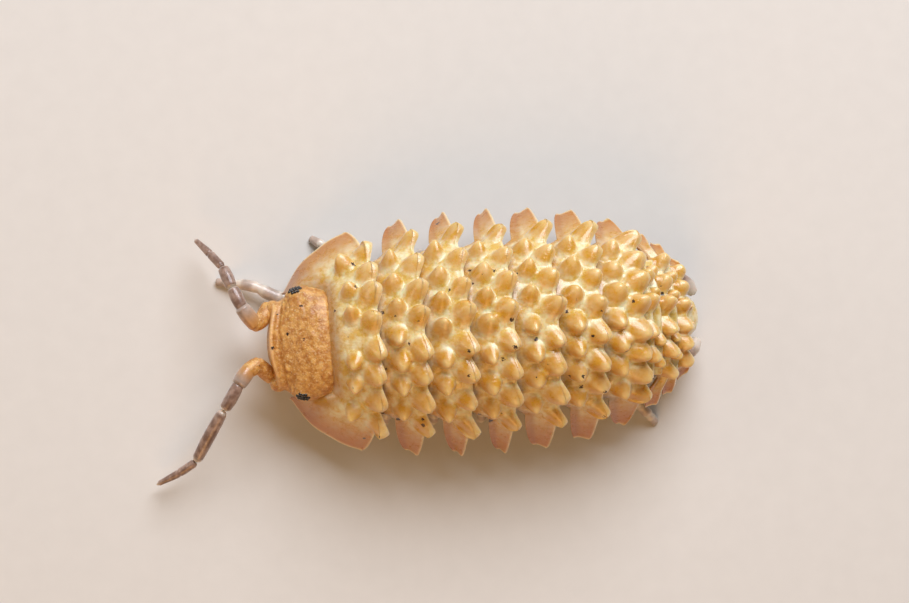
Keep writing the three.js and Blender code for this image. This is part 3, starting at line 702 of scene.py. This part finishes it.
skin_points, skin_normals = head.reshape(-1, 3), normal.reshape(-1, 3)
for side_sign, label in ((-1, "left"), (1, "right")):
    # The patch lies in the plane that touches the head at the eye, and each lens is then set on the nearest
    # skin
    eye_at = np.array([EYE_CENTRE_X, side_sign * EYE_Y, EYE_CENTRE_Z + PATCH_RAISE])
    middle = np.argmin(np.linalg.norm(skin_points - eye_at, axis=1))
    outwards = skin_normals[middle]
    lengthwise = np.array([1.0, 0, 0]) - outwards * outwards[0]
    lengthwise /= np.linalg.norm(lengthwise)
    downwards = np.cross(outwards, lengthwise)
    downwards *= -1 if downwards[2] > 0 else 1
    centres = []
    for row, count in enumerate(LENS_ROWS):
        for k in range(count):
            at = (k - (count - 1) / 2) * LENS_STEP
            down = (row - 1) * LENS_STEP + ROW_BEND[0] * (at / ROW_BEND[1]) ** 2
            wanted_at = skin_points[middle] + at * lengthwise + down * downwards
            nearest = np.argmin(np.linalg.norm(skin_points - wanted_at, axis=1))
            above = (wanted_at - skin_points[nearest]) @ skin_normals[nearest]
            centres.append(wanted_at - (above + LENS_SEAT) * skin_normals[nearest])
    points, faces = balls(np.array(centres), LENS_RADIUS)
    fit(mesh_object(f"eye_{label}_lenses", points, outward(points, faces)), eye_glass, "eye", f"eye_{label}")

# Antennal lobes: a rounded boss at each front corner of the head, grown in one with it and of the same
# granular cuticle. Each carries a feeler's socket, and its front is pale.
LOBE_SIZE = (0.21, 0.2, 0.24)
LOBE_PALE_FROM = -4.98
for side_sign, label in ((-1, "left"), (1, "right")):
    points, faces = balls(np.zeros((1, 3)), 1.0, 40, 24)
    points = points * LOBE_SIZE + np.array(SOCKET_LOBE) * [1, side_sign, 1]
    rim_values = np.clip((LOBE_PALE_FROM - points[:, 0]) * 5, 0, 1)
    lobe = mesh_object(f"antennal_lobe_{label}", points, outward(points, faces), {"rim": rim_values})
    fit(lobe, head_chitin, "head", "cephalon")

# Feelers: each a bent elbow of three short barrels, two long articles and a two-part whip with a fine tip.
# The first two barrels have the head's tan cuticle, and the third turns from amber to pale and glassy.
glassy, tree = bare_material("pale_glassy_chitin")
place = node(tree, "ShaderNodeTexCoord").outputs["Object"]
end = node(tree, "ShaderNodeAttribute", {"attribute_name": "end"}).outputs["Fac"]
amber = node(tree, "ShaderNodeAttribute", {"attribute_name": "amber"}).outputs["Fac"]
# Cloudiness of about 0.17 mm, and a lie of fine hairs 0.03 mm apart
cloud = node(tree, "ShaderNodeTexNoise", Vector=place, Scale=6000.0, Detail=4.0).outputs["Fac"]
hairs = node(tree, "ShaderNodeTexNoise", Vector=place, Scale=30000.0, Detail=2.0).outputs["Fac"]
colour = tinted(tree, "#826556", [
    (cloud, 0.35, 0.65, 1.0, "#b09484"),
    (end, 0.2, 0.9, 0.85, "#efe3d3"),
    (amber, 0.1, 0.9, 1.0, "#cf9550"),
])
bump = node(tree, "ShaderNodeBump", Strength=0.35, Distance=0.00002, Height=hairs)
shader = node(tree, "ShaderNodeBsdfPrincipled", Base_Color=colour, Roughness=0.28, IOR=1.54,
              Subsurface_Weight=0.3, Subsurface_Scale=0.0002, Subsurface_Radius=(1.0, 0.7, 0.6),
              Transmission_Weight=0.12, Coat_Weight=0.3, Coat_Roughness=0.15, Sheen_Weight=0.6,
              Sheen_Roughness=0.35, Normal=bump.outputs["Normal"])
finish_material(tree, shader)

# The bends of each feeler from its socket to its tip, as the photo shows it held
FEELERS = {
    "left": {
        "elbow": [[-5.06, -0.7, 1.2], [-5.36, -0.4, 1.42], [-5.61, -0.54, 1.54], [-5.81, -0.79, 1.58]],
        "article_4": [[-5.82, -0.8, 1.58], [-6.03, -1.13, 1.52], [-6.22, -1.39, 1.44]],
        "article_5": [[-6.22, -1.39, 1.43], [-6.6, -1.98, 1.12], [-6.93, -2.52, 0.82]],
        "flagellum": [[-6.94, -2.53, 0.8], [-7.36, -2.76, 0.6], [-7.86, -2.97, 0.42]],
    },
    "right": {
        "elbow": [[-5.0, 0.9, 1.2], [-5.18, 0.62, 1.36], [-5.36, 0.53, 1.5], [-5.62, 0.9, 1.6]],
        "article_4": [[-5.62, 0.9, 1.6], [-5.73, 1.17, 1.56], [-5.82, 1.41, 1.5]],
        "article_5": [[-5.82, 1.41, 1.49], [-5.91, 1.68, 1.38], [-5.99, 1.91, 1.26]],
        "flagellum": [[-6.0, 1.92, 1.25], [-6.26, 2.27, 1.0], [-6.57, 2.65, 0.7]],
    },
}
BARREL_RADIUS = 0.185
# How far a barrel runs past its ends, so that it sits in its neighbour
BARREL_PAST = 0.09
ARTICLE_RADII = {"article_4": 0.15, "article_5": 0.145}


def spine_curve(points, steps):
    """A smooth line through the points: each stretch a cubic whose slopes are half the chord of its
    neighbours."""
    p = np.asarray(points, float)
    padded = np.concatenate([[2 * p[0] - p[1]], p, [2 * p[-1] - p[-2]]])
    line = []
    for k in range(len(p) - 1):
        a, b, c, d = padded[k:k + 4]
        f = np.linspace(0, 1, steps, endpoint=k == len(p) - 2)[:, None]
        line.append(0.5 * (2 * b + (c - a) * f + (2 * a - 5 * b + 4 * c - d) * f ** 2
                           + (3 * b - a - 3 * c + d) * f ** 3))
    return np.concatenate(line)


def limb_rings(points, radius_of, sides=28, steps=24, flat=1.0):
    """Rings round a smooth line: radius_of gives the radius for 0..1 along it, and flat presses them top to
    bottom."""
    line = spine_curve(points, steps)
    run = np.concatenate([[0], np.cumsum(np.linalg.norm(np.diff(line, axis=0), axis=1))])
    run /= run[-1]
    way = np.gradient(line, axis=0)
    way /= np.linalg.norm(way, axis=1, keepdims=True)
    side_way = np.cross(way, [0, 0, 1.0])
    side_way /= np.linalg.norm(side_way, axis=1, keepdims=True) + 1e-9
    upward = np.cross(side_way, way)
    a = np.linspace(0, 2 * np.pi, sides, endpoint=False)
    r = radius_of(run)[:, None, None]
    across = side_way[:, None, :] * np.cos(a)[None, :, None]
    ring = across + flat * upward[:, None, :] * np.sin(a)[None, :, None]
    return line[:, None, :] + r * ring, np.broadcast_to(run[:, None], (len(run), sides))


def article(run, thick, neck):
    """Radius of a limb article: a slow swell from the neck to full, closed at each end by a round cap."""
    cap = np.sqrt(np.clip(1 - np.clip(1 - np.minimum(run, 1 - run) / 0.12, 0, 1) ** 2, 0, 1))
    return thick * (neck + (1 - neck) * np.sin(np.pi * run) ** 0.8) * cap + 0.004


def whip_radius(run):
    """Radius of the whip: two lengths with a narrow joint at 0.44 of it, the second drawn to a fine tip."""
    return np.interp(run, [0, 0.06, 0.4, 0.44, 0.48, 0.93, 1.0],
                     [0.07, 0.1, 0.1, 0.08, 0.095, 0.06, 0.015])


for label, parts in FEELERS.items():
    for k in range(3):
        start, stop = np.array(parts["elbow"][k]), np.array(parts["elbow"][k + 1])
        past = BARREL_PAST * (stop - start) / np.linalg.norm(stop - start)
        ends = [start - past, (start + stop) / 2, stop + past]
        rings, run = limb_rings(ends, lambda r: article(r, BARREL_RADIUS, 0.84))
        values = {"rim": np.clip((run - 0.8) * 4, 0, 1), "end": np.full(run.shape, 0.45), "amber": 1 - run}
        made = closed_tube(f"feeler_{label}_barrel_{k + 1}", rings, values)
        fit(made, glassy if k == 2 else head_chitin, "feeler_base", f"antenna_base_{label}")
    for key, thick in ARTICLE_RADII.items():
        rings, run = limb_rings(parts[key], lambda r: article(r, thick, 0.8))
        values = {"end": np.maximum(np.clip((run - 0.82) * 5, 0, 1), np.clip((0.12 - run) * 8, 0, 1))}
        made = closed_tube(f"feeler_{label}_{key}", rings, values)
        fit(made, glassy, "feeler", f"antenna_{key}_{label}")
    rings, run = limb_rings(parts["flagellum"], whip_radius, steps=40)
    made = closed_tube(f"feeler_{label}_whip", rings, {"end": np.clip((run - 0.85) * 6, 0, 1)})
    fit(made, glassy, "feeler", f"flagellum_{label}")

# Legs: seven pairs of the same pale cuticle, drawn in at their soft joints. They come out from under the
# plates, bend down and end in a small foot on the floor.
BELLY = 1.1
FIRST_LEG_X = -3.25
LEG_ROOT_Y = 0.98
LEG_ROOT_AHEAD = 0.62
LEG_REACH = (-0.3, -0.22, -0.1, 0.02, 0.14, 0.26, 0.4)
LEG_JOINTS = (0.3, 0.52, 0.7, 0.86)
JOINT_NARROWING = 0.22
# A standing leg from the knee to the foot: share of its reach, y where the body is widest, z
STANDING = [[0.2, 1.18, 0.72], [0.6, 1.62, 0.6], [0.9, 1.95, 0.34], [1, 2.02, 0.03]]
# The three legs that the photo shows stepping out past the plates, from the knee to the foot
STEPPING = {
    "right_1": [[-3.7, 1.16, 0.4], [-4.6, 1.14, 0.34], [-5.3, 1.48, 0.32], [-6.1, 1.66, 0.03]],
    "right_2": [[-2.5, 1.35, 0.6], [-3.0, 1.85, 0.42], [-3.5, 2.28, 0.24], [-3.82, 2.51, 0.03]],
    "left_7": [[3.1, -1.2, 0.6], [3.45, -1.75, 0.42], [3.8, -2.2, 0.26], [3.98, -2.41, 0.03]],
}


def leg_radius(run):
    """Tapers from the root to the foot and is drawn in by a fifth at each joint."""
    taper = np.interp(run, [0, 0.3, 0.6, 0.85, 1.0], [0.21, 0.2, 0.16, 0.12, 0.09])
    for joint in LEG_JOINTS:
        taper = taper * (1 - JOINT_NARROWING * np.exp(-((run - joint) / 0.02) ** 2))
    return taper


for number in range(1, 8):
    root_x = FIRST_LEG_X if number == 1 else SHIELD_REAR + PITCH * (number - 1) - PITCH * LEG_ROOT_AHEAD
    reach = LEG_REACH[number - 1]
    width = along(np.array(root_x), 1) / along(np.array(0.0), 1)
    for side_sign, label in ((-1, "left"), (1, "right")):
        standing = [[root_x + reach * share, side_sign * out * width, level]
                    for share, out, level in STANDING]
        root = [root_x, side_sign * LEG_ROOT_Y * width, BELLY]
        path = [root] + STEPPING.get(f"{label}_{number}", standing)
        rings, run = limb_rings(path, leg_radius, sides=20, steps=16)
        rings[..., 2] = np.maximum(rings[..., 2], 0.0)
        joints = sum(np.exp(-((run - j) / 0.03) ** 2) for j in LEG_JOINTS)
        made = closed_tube(f"leg_{label}_{number}_skin", rings, {"end": np.clip(joints + 0.5, 0, 1)})
        fit(made, glassy, "leg", f"leg_{label}_{number}")

# Telson and uropods: a small blunt wedge of amber chitin with two tubercles closes the tail, and a pale
# flattened uropod is hinged on each side of it.
TELSON_X = PLEON_FRONT + 5 * PLEON_PITCH + 0.05
# The telson's stations: place along the body, half width, top and underside
TELSON = np.array([
    [TELSON_X - 0.1, 0.5, 1.5, 0.9],
    [TELSON_X, 0.5, 1.42, 0.86],
    [TELSON_X + 0.16, 0.46, 1.28, 0.74],
    [TELSON_X + 0.34, 0.3, 1.08, 0.7],
    [TELSON_X + 0.37, 0.12, 1.0, 0.78],
])
TELSON_SQUARE = 0.8
TAIL_TUBERCLE_IN = 0.12
TAIL_TUBERCLE_OUT = 0.2
TAIL_TUBERCLE_RADIUS = 0.13
TAIL_TUBERCLE_HEIGHT = 0.16
TAIL_LEAN = 0.6
UROPOD_FLAT = 0.7
tail_x = np.linspace(TELSON_X - 0.1, TELSON_X + 0.37, 50)
angle = np.linspace(0, 2 * np.pi, 90, endpoint=False)
cos, sin = np.cos(angle)[None, :], np.sin(angle)[None, :]
half, high, low = [through(TELSON, tail_x, c)[:, None] for c in (1, 2, 3)]
x = np.broadcast_to(tail_x[:, None], (len(tail_x), len(angle)))
y = half * np.sign(cos) * np.abs(cos) ** TELSON_SQUARE
z = (high + low) / 2 + (high - low) / 2 * np.sign(sin) * np.abs(sin) ** TELSON_SQUARE
lift = np.zeros_like(z)
for side_sign in (-1, 1):
    away = np.hypot(x - TELSON_X - TAIL_TUBERCLE_IN, y - side_sign * TAIL_TUBERCLE_OUT)
    lift += TAIL_TUBERCLE_HEIGHT * np.clip(1 - away / TAIL_TUBERCLE_RADIUS, 0, 1) ** 1.2 * (z > 1.0)
telson = np.stack([x + TAIL_LEAN * lift, y, z + lift], axis=-1)
values = {
    "tubercle": lift / TAIL_TUBERCLE_HEIGHT,
    "rim": np.clip((x - TELSON_X - 0.26) * 9, 0, 1),
    "side": np.zeros_like(x),
    # Nothing lies over the telson, so it gets none of the painted overlap shade
    "lap_shade": np.ones_like(x),
}
fit(closed_tube("telson_plate", telson, values), chitin, "plate", "telson")


def uropod_radius(run):
    """Radius of a uropod: it swells from a narrow root to its full width and tapers to a blunt tip."""
    return np.interp(run, [0, 0.1, 0.6, 0.92, 1], [0.12, 0.2, 0.19, 0.12, 0.03])


for side_sign, label in ((-1, "left"), (1, "right")):
    path = [[TELSON_X - 0.04, side_sign * 0.9, 0.88], [TELSON_X + 0.2, side_sign * 0.74, 0.8],
            [TELSON_X + 0.4, side_sign * 0.52, 0.71]]
    rings, run = limb_rings(path, uropod_radius, flat=UROPOD_FLAT)
    made = closed_tube(f"uropod_{label}_blade", rings, {"end": np.clip(run * 1.2, 0, 1)})
    fit(made, glassy, "plate", f"uropod_{label}")

# Belly, mouthparts and pleopods: soft pale skin under the plates, folded once for each body ring, with flat
# breathing flaps under the tail and a pair of flat jaw legs under the head.
BELLY_DEPTH = 0.45
BODY_DEPTH = 0.52
BELLY_FRONT = -3.4
BELLY_REAR = TELSON_X + 0.05
BELLY_REACH = 0.7
FOLD_DEPTH = 0.03
FLAP_STEP = 0.2
FLAP_LENGTH = 0.24
FLAP_THICK = 0.05
JAW_AT = (-4.62, 0.25, 0.52)
JAW_SIZE = (0.34, 0.2, 0.09)
belly_x = np.linspace(BELLY_FRONT, BELLY_REAR, 260)
angle = np.linspace(0, 2 * np.pi, 72, endpoint=False)
under = (np.sin(angle) < 0)[None, :]
t = BELLY_REACH * np.cos(angle)[None, :]
x = np.broadcast_to(belly_x[:, None], (len(belly_x), len(angle)))
surface = back_surface(x, np.broadcast_to(t, x.shape))
fold = FOLD_DEPTH * np.cos(2 * np.pi * (x - SHIELD_REAR) / PITCH)
belly_z = np.minimum(BELLY, along(belly_x, 2) - BODY_DEPTH)[:, None] + fold
edge_z = (surface[..., 2] + belly_z) / 2
rise = np.abs(np.sin(angle))[None, :] ** 0.7
z = np.where(under, mix(edge_z, belly_z, rise), mix(edge_z, surface[..., 2] - BELLY_DEPTH, rise))
taper = np.clip((BELLY_REAR - belly_x) / 0.3, 0.05, 1)[:, None] ** 0.5
body = np.stack([x, surface[..., 1] * 0.96 * taper, z], axis=-1)
fit(closed_tube("belly_skin", body, {"end": np.full(z.shape, 0.6)}), glassy, "leg", "pleopods")

# The flaps get smaller and lie closer to the middle line towards the tail
flap_points, flap_faces, base_count = [], [], 0
for number in range(5):
    for side_sign in (-1, 1):
        at_x = PLEON_FRONT + 0.05 + FLAP_STEP * number
        at_z = min(BELLY, float(along(np.array(at_x), 2)) - BODY_DEPTH) - 0.22
        points, faces = balls(np.zeros((1, 3)), 1.0, 24, 12)
        points = points * [FLAP_LENGTH, 0.45 - 0.03 * number, FLAP_THICK]
        points[:, 2] -= 0.12 * points[:, 0]
        points += [at_x, side_sign * 0.4 * (1 - 0.08 * number), at_z]
        flap_points.append(points)
        flap_faces.append([f + base_count for f in faces])
        base_count += len(points)
points = np.concatenate(flap_points)
faces = [np.concatenate([f[k] for f in flap_faces]) for k in (0, 1)]
flaps = mesh_object("pleopod_flaps", points, outward(points, faces), {"end": np.full(len(points), 0.7)})
fit(flaps, glassy, "leg", "pleopods")

for side_sign, label in ((-1, "left"), (1, "right")):
    points, faces = balls(np.zeros((1, 3)), 1.0, 24, 14)
    points = points * JAW_SIZE + np.array(JAW_AT) * [1, side_sign, 1]
    jaw = mesh_object(f"maxilliped_{label}_plate", points, outward(points, faces))
    fit(jaw, head_chitin, "leg", f"maxilliped_{label}")
